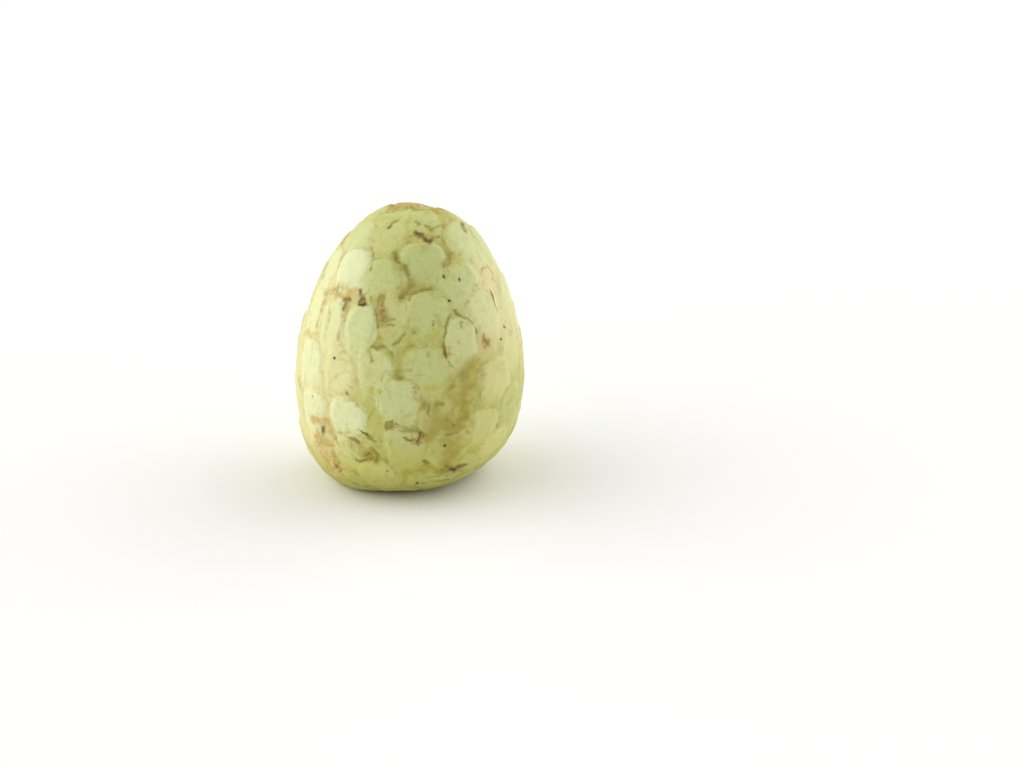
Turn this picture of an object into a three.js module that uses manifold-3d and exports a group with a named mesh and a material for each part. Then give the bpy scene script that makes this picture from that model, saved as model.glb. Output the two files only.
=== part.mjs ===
// A whole custard apple (cherimoya), standing on its stem end.
// Millimetres, +Z up, origin at the middle of the footprint, on the surface it stands on.
import * as THREE from "three";
import { ConvexHull } from "three/addons/math/ConvexHull.js";
import { mergeVertices } from "three/addons/utils/BufferGeometryUtils.js";
import Module from "manifold-3d";

const { clamp, degToRad, lerp, smoothstep } = THREE.MathUtils;

// The body's profile
const HEIGHT = 107.7; // from the table to the apex
const WIDEST_RADIUS = 43;
const WIDEST_HEIGHT = 41.6;
const CROWN_BEND = 1.7; // how soon the side turns in above the widest level
const CROWN_ROUND = 2.19; // how round the crown is
const RING_RADIUS = 20; // the ring that it stands on, round the stem pit
const HEEL_REACH = 0.7; // how far the heel runs out flat from the ring
const HEEL_RISE = 0.68; // how far the side comes down upright above the heel
const SETTLED = 0.3; // how much of the ring is pressed flat
const PIT_DEPTH = 6.5;
const PIT_FLOOR_RADIUS = 8;
const PIT_END = 0.16; // where the pit and the heel end along the profile's parameter
const HEEL_END = 0.5;

// Its lack of symmetry
const LEAN = 1.2; // the apex stands this far to +X of the foot
const CROWN_LEAN = -0.75; // and the crown bends back by this much
const CROWN_TILT = 0.074; // the apex's slope, up to +X
const CROWN_SHARPNESS = 6; // how close to the apex those two stay
const SLACK_SIDE = degToRad(-20); // the heel is slacker on this side
const HEEL_SLACK = 6.9;
const EVEN_SLACK = 0.42; // the share of it that goes all round
const LIFT_SIDE = degToRad(-56); // and its underside is higher on this one
const HEEL_LIFT = 3;
const FOOT_BULGE = 1.1; // low bulges of the heel round the ring
const FOOT_BULGES = 5;
const FOOT_BULGE_SIDE = degToRad(-95);
const LUMP = 0.5; // the broadest swelling of the whole body
const LUMPS = [
  { waves: 2, share: 1, phase: 1.1, twist: 2.4 },
  { waves: 3, share: 0.7, phase: -0.6, twist: -3.7 },
  { waves: 5, share: 0.5, phase: 2, twist: 6.1 },
];

// The stem end
const STUB_RADIUS = 5.8;
const STUB_SINKS = 3;
const STUB_END_HEIGHT = 2.2; // above the table
const STUB_END_BULGE = 0.5;
const STUB_LIP = 0.7; // height of its end's rounded edge
const STUB_WAIST = 0.93; // its narrowest, against its radius
const STUB_CLEARANCE = 0.3;

// The carpels, whose tips show as overlapping tongues all over the skin
const CARPELS = 128;
const FIRST_CARPEL = 0.035; // share of the skin below the first one
const GOLDEN_ANGLE = Math.PI * (3 - Math.sqrt(5));
const SPIRAL_PHASE = degToRad(20);
const SCATTER = 2; // how far a carpel strays from the spiral
const TWIST = degToRad(13);
const PROUD = 0.2; // how much some tongues stand out or sink
const SIZES = [0.86, 1.1];
const TONGUE = { half: 9.2, dome: 8.8, tail: 15.5, reach: 22 };
const TAPER = 0.55; // how much a tongue narrows to its root
const TAPER_DELAY = 1.5; // the more, the nearer the root it narrows
const ROOT_BLUNTNESS = 3;
const BOXINESS = 2.6; // 2 makes a tongue's head an ellipse, more makes it squarer
const TONGUE_RISE = 0.7; // a tongue's tip stands this far out of its root
const RIM = 0.12; // the share of a tongue's half width over which its tip's rim rolls down
const FLANK_SOFTNESS = 4; // how much slower its flanks and root run out
const FLATTENING = 0.014; // each tongue is flatter than the body, by this much per mm squared
const DISH_START = 0.4; // the share of the tail up from which it is
const APEX_DIMPLE = { depth: 2, radius: 11 };

// The carpels on the side that shows best, where they were measured: azimuth and height of the
// middle, width and length against the usual tongue, turn, and how proud it stands.
const MEASURED_CARPELS = [
  [-155, 100, 1.0, 0.9, 0, 0],
  [-28, 96, 1.1, 1.05, 0, 0],
  [-79, 92, 1.1, 1.1, -4, 0.1],
  [-135, 90, 1.0, 0.95, 8, 0.35],
  [-109, 88, 1.05, 1.0, 6, 0],
  [-165, 87, 0.8, 1.0, 0, 0],
  [-54, 84, 1.1, 1.0, 5, 0.1],
  [-78, 77, 1.0, 0.95, 0, 0.2],
  [-97, 75, 0.8, 0.9, 0, -0.2],
  [-41, 74, 1.0, 1.0, 0, 0.1],
  [-9, 74, 1.0, 1.05, 0, 0],
  [-159, 71, 0.8, 1.15, 0, 0.1],
  [-117, 70, 0.8, 1.15, 0, 0.25],
  [-138, 69, 0.75, 1.15, 0, 0.1],
  [-60, 65, 0.75, 1.2, 0, 0.35],
  [-107, 57, 0.9, 1.0, 0, 0],
  [-80, 57, 1.05, 1.0, 0, -0.1],
  [-128, 54, 0.85, 1.0, 0, 0],
  [-151, 52, 1.0, 1.05, 0, 0.2],
  [-94, 45, 1.05, 1.05, 0, 0.25],
  [-74, 37, 0.9, 1.0, 0, 0],
  [-122, 36, 1.0, 1.0, 0, 0.2],
  [-146, 34, 0.95, 1.0, 0, 0.2],
  [-91, 27, 0.95, 1.05, 0, 0.2],
];
const CARPEL_ROOM = 11.5; // a carpel of the spiral gives way nearer than this to a measured one

// The mesh
const PROFILE_STEPS = 400;
const SKIN_POINTS = 5800;
const OUTLINE_STEP = 2.1; // between the points along a tongue's outline
const EDGE_FOOT = 1.01; // an edge's foot is this much wider than the outline
const OUTLINE_ROOT = 0.85; // the share of the tail that has outline points
const EDGE_ROOM = 0.7; // the least distance between two points of outlines
const FIELD_ROOM = 1.75; // the least distance from any other point to its neighbours
const FIELD_LEAP = 4801; // shares no factor with twice the number of points
const STEP_THAT_SHOWS = 0.12; // a lower edge than this gets no points of its own
const ROUND_SIDES = 28;
const MERGING_DISTANCE = 1e-4;
const TABLE_SIDE = 200;

const SKIN_COLOUR = 0xc5cc8f;
const WOOD_COLOUR = 0x7a5b3f;

// A fixed random number from 0 to 1 for item i, draw k.
function draw(i, k) {
  const s = Math.sin(i * 12.9898 + k * 78.233) * 43758.5453;
  return s - Math.floor(s);
}

// The profile's heel: from the ring out flat, then up to the widest level.
function heelPoint(s) {
  const heel = new THREE.CubicBezierCurve(
    new THREE.Vector2(RING_RADIUS, 0),
    new THREE.Vector2(lerp(RING_RADIUS, WIDEST_RADIUS, HEEL_REACH), 0),
    new THREE.Vector2(WIDEST_RADIUS, WIDEST_HEIGHT * (1 - HEEL_RISE)),
    new THREE.Vector2(WIDEST_RADIUS, WIDEST_HEIGHT),
  ).getPoint(s);
  return [heel.x, heel.y - SETTLED * (1 - heel.y / WIDEST_HEIGHT)];
}

// Radius and height up the outside, from the pit's middle by the ring and the heel to the apex.
function profilePoint(t) {
  if (t < PIT_END) {
    const r = (RING_RADIUS * t) / PIT_END;
    return [r, PIT_DEPTH * (1 - smoothstep(r, PIT_FLOOR_RADIUS, RING_RADIUS)) - SETTLED];
  }
  if (t < HEEL_END) return heelPoint((t - PIT_END) / (HEEL_END - PIT_END));
  const up = Math.sin((Math.PI / 2) * ((t - HEEL_END) / (1 - HEEL_END)));
  const r = WIDEST_RADIUS * Math.pow(Math.max(0, 1 - Math.pow(up, CROWN_BEND)), 1 / CROWN_ROUND);
  return [r, lerp(WIDEST_HEIGHT, HEIGHT, up)];
}

// The profile with the share of the skin's area that lies below each of its points.
function measureProfile() {
  const points = [];
  let area = 0;
  for (let i = 0; i <= PROFILE_STEPS; i++) {
    const [r, z] = profilePoint(i / PROFILE_STEPS);
    if (i > 0) {
      const last = points[i - 1];
      area += (r + last.r) * Math.hypot(r - last.r, z - last.z);
    }
    points.push({ r, z, area });
  }
  for (const p of points) p.share = p.area / area;
  return points;
}

const profile = measureProfile();

// Where the profile has passed a share of the skin: radius, height and the way up.
function atShare(share) {
  let low = 0;
  let high = PROFILE_STEPS;
  while (high - low > 1) {
    const middle = (low + high) >> 1;
    if (profile[middle].share <= share) low = middle;
    else high = middle;
  }
  const a = profile[low];
  const b = profile[high];
  const f = clamp((share - a.share) / (b.share - a.share), 0, 1);
  const length = Math.hypot(b.r - a.r, b.z - a.z);
  return {
    r: lerp(a.r, b.r, f),
    z: lerp(a.z, b.z, f),
    alongR: (b.r - a.r) / length,
    alongZ: (b.z - a.z) / length,
  };
}

// The share of the skin below a height of the outside.
function shareAtHeight(z) {
  const first = Math.ceil(PIT_END * PROFILE_STEPS);
  const above = profile.findIndex((p, i) => i > first && p.z >= z);
  const a = profile[above - 1];
  const b = profile[above];
  return lerp(a.share, b.share, clamp((z - a.z) / (b.z - a.z), 0, 1));
}

// The azimuth and share of the smooth skin's point next to a point in space.
function nearestSkin(p) {
  const r = Math.hypot(p.x, p.y);
  let best = { distance: Infinity, share: 0 };
  for (let i = 1; i <= PROFILE_STEPS; i++) {
    const a = profile[i - 1];
    const b = profile[i];
    const dr = b.r - a.r;
    const dz = b.z - a.z;
    const f = clamp(((r - a.r) * dr + (p.z - a.z) * dz) / (dr * dr + dz * dz), 0, 1);
    const distance = Math.hypot(a.r + f * dr - r, a.z + f * dz - p.z);
    if (distance < best.distance) best = { distance, share: lerp(a.share, b.share, f) };
  }
  return { azimuth: Math.atan2(p.y, p.x), share: best.share };
}

// A point of the smooth skin, with its outward, upward and round directions.
function smoothSkin(azimuth, share) {
  const at = atShare(share);
  const c = Math.cos(azimuth);
  const s = Math.sin(azimuth);
  return {
    point: new THREE.Vector3(at.r * c, at.r * s, at.z),
    out: new THREE.Vector3(at.alongZ * c, at.alongZ * s, -at.alongR),
    up: new THREE.Vector3(at.alongR * c, at.alongR * s, at.alongZ),
    round: new THREE.Vector3(-s, c, 0),
  };
}

function makeCarpel(at, turn, width, length, proud) {
  const c = Math.cos(turn);
  const s = Math.sin(turn);
  return {
    centre: at.point,
    round: at.round.clone().multiplyScalar(c).addScaledVector(at.up, s),
    up: at.up.clone().multiplyScalar(c).addScaledVector(at.round, -s),
    width,
    length,
    proud,
  };
}

function measuredCarpels() {
  return MEASURED_CARPELS.map(([azimuth, height, width, length, turn, proud]) => {
    const at = smoothSkin(degToRad(azimuth), shareAtHeight(height));
    return makeCarpel(at, degToRad(turn), width, length, proud);
  });
}

// The carpels in their spiral, each with its own place, size, turn and height.
function spiralCarpels() {
  const carpels = [];
  for (let i = 0; i < CARPELS; i++) {
    const share = lerp(FIRST_CARPEL, 1, (i + 0.5) / CARPELS);
    const at = smoothSkin(SPIRAL_PHASE + i * GOLDEN_ANGLE, share);
    at.point.addScaledVector(at.round, SCATTER * (2 * draw(i, 1) - 1));
    at.point.addScaledVector(at.up, SCATTER * (2 * draw(i, 2) - 1));
    const turn = TWIST * (2 * draw(i, 3) - 1);
    const size = lerp(SIZES[0], SIZES[1], draw(i, 4));
    carpels.push(makeCarpel(at, turn, size, size, PROUD * (2 * draw(i, 5) - 1)));
  }
  return carpels;
}

function growCarpels() {
  const measured = measuredCarpels();
  const free = (carpel) => measured.every((m) => m.centre.distanceTo(carpel.centre) > CARPEL_ROOM);
  return measured.concat(spiralCarpels().filter(free));
}

const carpels = growCarpels();

// How far one tongue lifts the skin at a point: most at its tip, none outside its outline.
function tongueLift(carpel, point) {
  if (point.distanceTo(carpel.centre) > TONGUE.reach) return 0;
  const offset = point.clone().sub(carpel.centre);
  const u = offset.dot(carpel.round) / carpel.width;
  const v = offset.dot(carpel.up) / carpel.length;
  const down = clamp(-v / TONGUE.tail, 0, 1);
  const across = Math.abs(u) / (TONGUE.half * (1 - TAPER * Math.pow(down, TAPER_DELAY)));
  const along = v > 0 ? v / TONGUE.dome : Math.pow(down, ROOT_BLUNTNESS);
  const inside = 1 - Math.pow(Math.pow(across, BOXINESS) + Math.pow(along, BOXINESS), 1 / BOXINESS);
  if (inside <= 0) return 0;
  const climb = clamp((v + TONGUE.tail) / (TONGUE.tail + TONGUE.dome), 0, 1);
  const headOnly = smoothstep(v, -TONGUE.tail, -DISH_START * TONGUE.tail);
  const dish = 0.5 * FLATTENING * (u * u + Math.pow(Math.max(0, v), 2)) * headOnly;
  const rim = RIM * (1 + FLANK_SOFTNESS * (1 - climb));
  return ((TONGUE_RISE + carpel.proud) * climb + dish) * smoothstep(inside, 0, rim);
}

function highestLift(point, without) {
  let lift = 0;
  for (const carpel of carpels) {
    if (carpel !== without) lift = Math.max(lift, tongueLift(carpel, point));
  }
  return lift;
}

// Broad swellings that keep the body from being a turned shape.
function lumps(azimuth, z) {
  let height = 0;
  for (const { waves, share, phase, twist } of LUMPS) {
    height += LUMP * share * Math.sin(waves * azimuth + phase + (twist * z) / HEIGHT);
  }
  return height;
}

// The whole fruit leans, its apex tilts, and its heel is slack and lifted on one side.
function slump(p, azimuth) {
  const heel = Math.pow(clamp(1 - p.z / WIDEST_HEIGHT, 0, 1), 2);
  const reach = Math.hypot(p.x, p.y) / WIDEST_RADIUS;
  const slack = HEEL_SLACK * heel * reach * lerp(Math.cos(azimuth - SLACK_SIDE), 1, EVEN_SLACK);
  const h = clamp(p.z / HEIGHT, 0, 1);
  const crown = Math.pow(h, CROWN_SHARPNESS);
  p.x += LEAN * (h - 0.5) + CROWN_LEAN * crown - slack * Math.cos(azimuth);
  p.y -= slack * Math.sin(azimuth);
  const ring = RING_RADIUS / WIDEST_RADIUS;
  const beyondRing = clamp((reach - ring) / (1 - ring), 0, 1);
  const bulge = FOOT_BULGE * beyondRing * Math.cos(FOOT_BULGES * (azimuth - FOOT_BULGE_SIDE));
  const lift = HEEL_LIFT * smoothstep(reach * Math.cos(azimuth - LIFT_SIDE), 0, 1);
  p.z += heel * (lift + bulge) + CROWN_TILT * crown * p.x;
  return p;
}

// The finished skin at an azimuth and a share of its area.
function skinPoint({ azimuth, share }) {
  const { point, out } = smoothSkin(azimuth, share);
  const fromAxis = Math.hypot(point.x, point.y);
  const inPit = point.z < PIT_DEPTH ? 1 - smoothstep(fromAxis, PIT_FLOOR_RADIUS, RING_RADIUS) : 0;
  const apex = fromAxis / APEX_DIMPLE.radius;
  const dimple = point.z > WIDEST_HEIGHT ? APEX_DIMPLE.depth * Math.exp(-apex * apex) : 0;
  const lift = highestLift(point) + lumps(azimuth, point.z);
  return slump(point.addScaledVector(out, (1 - inPit) * lift - dimple), azimuth);
}

// The place on the skin under a point of a tongue's own plane.
function placeOnTongue(carpel, u, v) {
  const target = carpel.centre
    .clone()
    .addScaledVector(carpel.round, u * carpel.width)
    .addScaledVector(carpel.up, v * carpel.length);
  const aim = target.clone();
  let place = nearestSkin(aim);
  for (let pass = 0; pass < 2; pass++) {
    const miss = target.clone().sub(smoothSkin(place.azimuth, place.share).point);
    aim.addScaledVector(carpel.round, miss.dot(carpel.round));
    aim.addScaledVector(carpel.up, miss.dot(carpel.up));
    place = nearestSkin(aim);
  }
  return place;
}

// A tongue's outline, from the root up one flank, round the tip and down the other.
function tongueOutline() {
  const flank = [];
  for (let v = -OUTLINE_ROOT * TONGUE.tail; v < 0; v += OUTLINE_STEP) {
    const down = -v / TONGUE.tail;
    const blunt = Math.pow(1 - Math.pow(down, BOXINESS * ROOT_BLUNTNESS), 1 / BOXINESS);
    const wide = blunt * (1 - TAPER * Math.pow(down, TAPER_DELAY));
    flank.push([TONGUE.half * wide, v]);
  }
  const boxy = (x) => Math.sign(x) * Math.pow(Math.abs(x), 2 / BOXINESS);
  const steps = Math.round((Math.PI * TONGUE.half) / OUTLINE_STEP);
  const tip = [];
  for (let k = 0; k <= steps; k++) {
    const angle = (Math.PI * k) / steps;
    tip.push([TONGUE.half * boxy(Math.cos(angle)), TONGUE.dome * boxy(Math.sin(angle))]);
  }
  const otherFlank = flank.map(([u, v]) => [-u, v]).reverse();
  return [...flank, ...tip, ...otherFlank];
}

// The points of all the outlines whose edge shows, at the foot and on the crest of each edge.
function edgePlaces() {
  const outline = tongueOutline();
  const crestScale = 1 - RIM;
  const places = [];
  for (const carpel of carpels) {
    for (const [u, v] of outline) {
      const crest = placeOnTongue(carpel, u * crestScale, v * crestScale);
      const onSkin = smoothSkin(crest.azimuth, crest.share).point;
      const step = tongueLift(carpel, onSkin) - highestLift(onSkin, carpel);
      if (step < STEP_THAT_SHOWS) continue;
      places.push(crest, placeOnTongue(carpel, u * EDGE_FOOT, v * EDGE_FOOT));
    }
  }
  return places;
}

// Even points all over, in their own spiral, taken in leaps so that any number of them covers it.
function fieldPlaces(count) {
  const places = [];
  for (let i = 0; i < count; i++) {
    const leap = (i * FIELD_LEAP) % count;
    places.push({ azimuth: leap * GOLDEN_ANGLE, share: (leap + 0.5) / count });
  }
  return places;
}

// Keeps the places that leave room to those already kept.
function keepApart(kept, places, room) {
  for (const place of places) {
    if (kept.length >= SKIN_POINTS) return;
    const { point } = smoothSkin(place.azimuth, place.share);
    if (kept.every((other) => other.point.distanceTo(point) > room)) kept.push({ ...place, point });
  }
}

function onUnitBall({ azimuth, share }) {
  const z = 2 * share - 1;
  const r = Math.sqrt(Math.max(0, 1 - z * z));
  return new THREE.Vector3(r * Math.cos(azimuth), r * Math.sin(azimuth), z);
}

// Triangles between the places: the hull of the same places on a ball.
function skinTriangles(places) {
  const indexOf = new Map();
  const ball = places.map(onUnitBall);
  ball.forEach((p, i) => indexOf.set(p, i));
  const index = [];
  for (const face of new ConvexHull().setFromPoints(ball).faces) {
    const corners = [];
    let edge = face.edge;
    do {
      corners.push(indexOf.get(edge.head().point));
      edge = edge.next;
    } while (edge !== face.edge);
    for (let k = 2; k < corners.length; k++) index.push(corners[0], corners[k - 1], corners[k]);
  }
  return index;
}

function fruitGeometry() {
  const kept = [];
  keepApart(kept, edgePlaces(), EDGE_ROOM);
  keepApart(kept, fieldPlaces(2 * SKIN_POINTS), FIELD_ROOM);
  const positions = kept.flatMap((place) => skinPoint(place).toArray());
  const geometry = new THREE.BufferGeometry();
  geometry.setAttribute("position", new THREE.Float32BufferAttribute(positions, 3));
  geometry.setIndex(skinTriangles(kept));
  return geometry;
}

// The woody stub that the picked fruit keeps in its pit.
function stubGeometry() {
  const top = PIT_DEPTH - SETTLED + STUB_SINKS - STUB_CLEARANCE;
  const waistHeight = lerp(STUB_END_HEIGHT, top - STUB_SINKS, 0.5);
  const outline = [
    new THREE.Vector2(0, STUB_END_HEIGHT + STUB_END_BULGE),
    new THREE.Vector2(0.55 * STUB_RADIUS, STUB_END_HEIGHT + 0.6 * STUB_END_BULGE),
    new THREE.Vector2(0.9 * STUB_RADIUS, STUB_END_HEIGHT),
    new THREE.Vector2(STUB_RADIUS, STUB_END_HEIGHT + STUB_LIP),
    new THREE.Vector2(STUB_WAIST * STUB_RADIUS, waistHeight),
    new THREE.Vector2(STUB_RADIUS, top - STUB_SINKS),
    new THREE.Vector2(STUB_RADIUS, top),
    new THREE.Vector2(0, top),
  ];
  return new THREE.LatheGeometry(outline, ROUND_SIDES).rotateX(Math.PI / 2);
}

const wasm = await Module();
wasm.setup();

function toSolid(geometry) {
  const bare = geometry.clone();
  bare.deleteAttribute("normal");
  bare.deleteAttribute("uv");
  const merged = mergeVertices(bare, MERGING_DISTANCE);
  return new wasm.Manifold(
    new wasm.Mesh({
      numProp: 3,
      vertProperties: new Float32Array(merged.attributes.position.array),
      triVerts: new Uint32Array(merged.index.array),
    }),
  );
}

function toGeometry(solid) {
  const mesh = solid.getMesh();
  const geometry = new THREE.BufferGeometry();
  geometry.setAttribute("position", new THREE.BufferAttribute(mesh.vertProperties, 3));
  geometry.setIndex(new THREE.BufferAttribute(mesh.triVerts, 1));
  geometry.computeVertexNormals();
  return geometry;
}

// The pit's floor doesn't stand over the origin, because the fruit leans.
const PIT_SHIFT = LEAN * (PIT_DEPTH / HEIGHT - 0.5);

function makeFruit() {
  const table = new THREE.BoxGeometry(TABLE_SIDE, TABLE_SIDE, HEIGHT).translate(0, 0, -HEIGHT / 2);
  const radius = STUB_RADIUS + STUB_CLEARANCE;
  const socket = new THREE.CylinderGeometry(radius, radius, 2 * STUB_SINKS, ROUND_SIDES);
  socket.rotateX(Math.PI / 2).translate(PIT_SHIFT, 0, PIT_DEPTH - SETTLED);
  const skin = new THREE.MeshStandardMaterial({ color: SKIN_COLOUR, roughness: 0.55 });
  const solid = toSolid(fruitGeometry()).subtract(toSolid(table)).subtract(toSolid(socket));
  const fruit = new THREE.Mesh(toGeometry(solid), skin);
  fruit.name = "fruit";
  return fruit;
}

function makeStub() {
  const wood = new THREE.MeshStandardMaterial({ color: WOOD_COLOUR, roughness: 0.85 });
  const stub = new THREE.Mesh(stubGeometry(), wood);
  stub.name = "stem_stub";
  stub.position.x = PIT_SHIFT;
  return stub;
}

const custardApple = new THREE.Group();
custardApple.add(makeFruit(), makeStub());

// The footprint's middle is the origin.
const middle = new THREE.Box3().setFromObject(custardApple).getCenter(new THREE.Vector3());
for (const piece of custardApple.children) {
  piece.position.x -= middle.x;
  piece.position.y -= middle.y;
}

export default custardApple;
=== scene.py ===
"""Looks for a whole custard apple (cherimoya): a fine skin of overlapping carpels, and its stem stub.

Lengths in the form are millimetres, as in the part's source; pieces are placed in metres.
"""
import math

import bpy
import numpy as np
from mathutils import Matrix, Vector


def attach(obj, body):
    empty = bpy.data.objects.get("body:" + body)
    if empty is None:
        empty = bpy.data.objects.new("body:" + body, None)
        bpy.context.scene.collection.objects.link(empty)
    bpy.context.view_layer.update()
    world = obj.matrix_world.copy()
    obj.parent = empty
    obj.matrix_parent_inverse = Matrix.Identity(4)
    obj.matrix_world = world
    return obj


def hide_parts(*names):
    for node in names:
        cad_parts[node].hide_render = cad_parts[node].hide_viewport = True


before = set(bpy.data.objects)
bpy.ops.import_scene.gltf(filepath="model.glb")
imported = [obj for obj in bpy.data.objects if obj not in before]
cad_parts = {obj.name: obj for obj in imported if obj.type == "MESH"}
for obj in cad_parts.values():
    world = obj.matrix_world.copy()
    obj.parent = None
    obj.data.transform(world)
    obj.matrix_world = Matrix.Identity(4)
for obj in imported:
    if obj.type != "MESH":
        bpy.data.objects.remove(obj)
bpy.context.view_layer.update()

MM = 0.001

# The form, as in the part's source, with slightly softer steps between the tongues
HEIGHT = 107.7
WIDEST_RADIUS = 43.0
WIDEST_HEIGHT = 41.6
CROWN_BEND = 1.7
CROWN_ROUND = 2.19
RING_RADIUS = 20.0
HEEL_REACH = 0.7
HEEL_RISE = 0.68
SETTLED = 0.3
PIT_DEPTH = 6.5
PIT_FLOOR_RADIUS = 8.0
PIT_END = 0.16
HEEL_END = 0.5
LEAN = 1.2
CROWN_LEAN = -0.75
CROWN_TILT = 0.074
CROWN_SHARPNESS = 6
SLACK_SIDE = math.radians(-20)
HEEL_SLACK = 6.9
EVEN_SLACK = 0.42
LIFT_SIDE = math.radians(-56)
HEEL_LIFT = 3.0
FOOT_BULGE = 1.1
FOOT_BULGES = 5
FOOT_BULGE_SIDE = math.radians(-95)
LUMP = 0.5
LUMPS = ((1.0, 2, 1.1, 2.4), (0.7, 3, -0.6, -3.7), (0.5, 5, 2.0, 6.1)) # share, waves, phase, twist
STUB_RADIUS = 5.8
STUB_SINKS = 3.0
STUB_END_HEIGHT = 2.2
STUB_CLEARANCE = 0.3
CARPELS = 128
FIRST_CARPEL = 0.035
GOLDEN_ANGLE = math.pi * (3 - math.sqrt(5))
SPIRAL_PHASE = math.radians(20)
SCATTER = 2.0
TWIST = math.radians(13)
PROUD = 0.2
SIZES = (0.86, 1.1)
HALF, DOME, TAIL, REACH = 9.2, 8.8, 15.5, 22.0
TAPER = 0.55
TAPER_DELAY = 1.5
ROOT_BLUNTNESS = 3
TONGUE_RISE = 0.5
RIM = 0.2
FLANK_SOFTNESS = 3.0
FLATTENING = 0.012
DISH_START = 0.4
BOXINESS = 2.6 # 2 makes a tongue's head an ellipse, more makes it squarer
DIMPLE_DEPTH, DIMPLE_RADIUS = 2.0, 11.0
CARPEL_ROOM = 11.5
PROFILE_STEPS = 400
# The carpels measured on the front: azimuth, height, width, length, turn, proud.
MEASURED_CARPELS = [
    (-155, 100, 1.0, 0.9, 0, 0),
    (-28, 96, 1.1, 1.05, 0, 0),
    (-79, 92, 1.1, 1.1, -4, 0.1),
    (-135, 90, 1.0, 0.95, 8, 0.35),
    (-109, 88, 1.05, 1.0, 6, 0),
    (-165, 87, 0.8, 1.0, 0, 0),
    (-54, 84, 1.1, 1.0, 5, 0.1),
    (-78, 77, 1.0, 0.95, 0, 0.2),
    (-97, 75, 0.8, 0.9, 0, -0.2),
    (-41, 74, 1.0, 1.0, 0, 0.1),
    (-9, 74, 1.0, 1.05, 0, 0),
    (-159, 71, 0.8, 1.15, 0, 0.1),
    (-117, 70, 0.8, 1.15, 0, 0.25),
    (-138, 69, 0.75, 1.15, 0, 0.1),
    (-60, 65, 0.75, 1.2, 0, 0.35),
    (-107, 57, 0.9, 1.0, 0, 0),
    (-80, 57, 1.05, 1.0, 0, -0.1),
    (-128, 54, 0.85, 1.0, 0, 0),
    (-151, 52, 1.0, 1.05, 0, 0.2),
    (-94, 45, 1.05, 1.05, 0, 0.25),
    (-74, 37, 0.9, 1.0, 0, 0),
    (-122, 36, 1.0, 1.0, 0, 0.2),
    (-146, 34, 0.95, 1.0, 0, 0.2),
    (-91, 27, 0.95, 1.05, 0, 0.2),
]

# The photograph's camera
FOCAL_MM, SENSOR_MM = 85.0, 36.0
FRAME_W, FRAME_H = 1024, 768
ELEVATION = math.radians(20)
MM_PER_PIXEL = 0.39
ASIDE, ABOVE = 38.5, 34.3
FOCAL_PX = FOCAL_MM / SENSOR_MM * FRAME_W
FORWARD = np.array([0.0, math.cos(ELEVATION), -math.sin(ELEVATION)])
RIGHT = np.array([1.0, 0.0, 0.0])
UPWARD = np.array([0.0, math.sin(ELEVATION), math.cos(ELEVATION)])
CAMERA = -FORWARD * FOCAL_PX * MM_PER_PIXEL + RIGHT * ASIDE + UPWARD * ABOVE


# Odd numbers that scatter whole ones evenly.
ITEM_STEP, DRAW_STEP, SCRAMBLE = 12.9898, 78.233, 43758.5453
CELL_STEPS = (57.0, 113.0)
SEED_STEP = np.array([3.7, 7.1, 1.9])


def draw(i, k):
    """A fixed random number from 0 to 1 for item i, draw k."""
    s = np.sin(i * ITEM_STEP + k * DRAW_STEP) * SCRAMBLE
    return s - np.floor(s)


def between(low, high, share):
    return low + (high - low) * share


def smooth(x, a, b):
    t = np.clip((x - a) / (b - a), 0, 1)
    return t * t * (3 - 2 * t)


def noise(p, size, seed=0.0):
    """Smooth noise from -1 to 1 at points p, with features of about this size."""
    q = p / size + seed * SEED_STEP
    cell = np.floor(q)
    f = q - cell
    f = f * f * (3 - 2 * f)
    total = np.zeros(len(p))
    for dx in (0, 1):
        for dy in (0, 1):
            for dz in (0, 1):
                c = cell + (dx, dy, dz)
                value = draw(c[:, 0] + CELL_STEPS[0] * c[:, 1] + CELL_STEPS[1] * c[:, 2], seed + 1)
                w = np.abs(1 - dx - f[:, 0]) * np.abs(1 - dy - f[:, 1]) * np.abs(1 - dz - f[:, 2])
                total += w * value
    return 2 * total - 1


# The smooth skin
def profile_point(t):
    if t < PIT_END:
        r = RING_RADIUS * t / PIT_END
        return r, PIT_DEPTH * (1 - smooth(r, PIT_FLOOR_RADIUS, RING_RADIUS)) - SETTLED
    if t < HEEL_END:
        s = (t - PIT_END) / (HEEL_END - PIT_END)
        b, c, d = 3 * s * (1 - s) ** 2, 3 * s * s * (1 - s), s ** 3
        reach = RING_RADIUS + (WIDEST_RADIUS - RING_RADIUS) * HEEL_REACH
        r = (1 - s) ** 3 * RING_RADIUS + b * reach + (c + d) * WIDEST_RADIUS
        z = c * WIDEST_HEIGHT * (1 - HEEL_RISE) + d * WIDEST_HEIGHT
        return r, z - SETTLED * (1 - z / WIDEST_HEIGHT)
    up = math.sin(math.pi / 2 * (t - HEEL_END) / (1 - HEEL_END))
    r = WIDEST_RADIUS * max(0.0, 1 - up ** CROWN_BEND) ** (1 / CROWN_ROUND)
    return r, WIDEST_HEIGHT + (HEIGHT - WIDEST_HEIGHT) * up


def measure_profile():
    points = np.array([profile_point(i / PROFILE_STEPS) for i in range(PROFILE_STEPS + 1)])
    step = np.diff(points, axis=0)
    bands = (points[1:, 0] + points[:-1, 0]) * np.hypot(step[:, 0], step[:, 1])
    area = np.concatenate([[0], np.cumsum(bands)])
    return points, area / area[-1]


PROFILE, SHARE = measure_profile()


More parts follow.
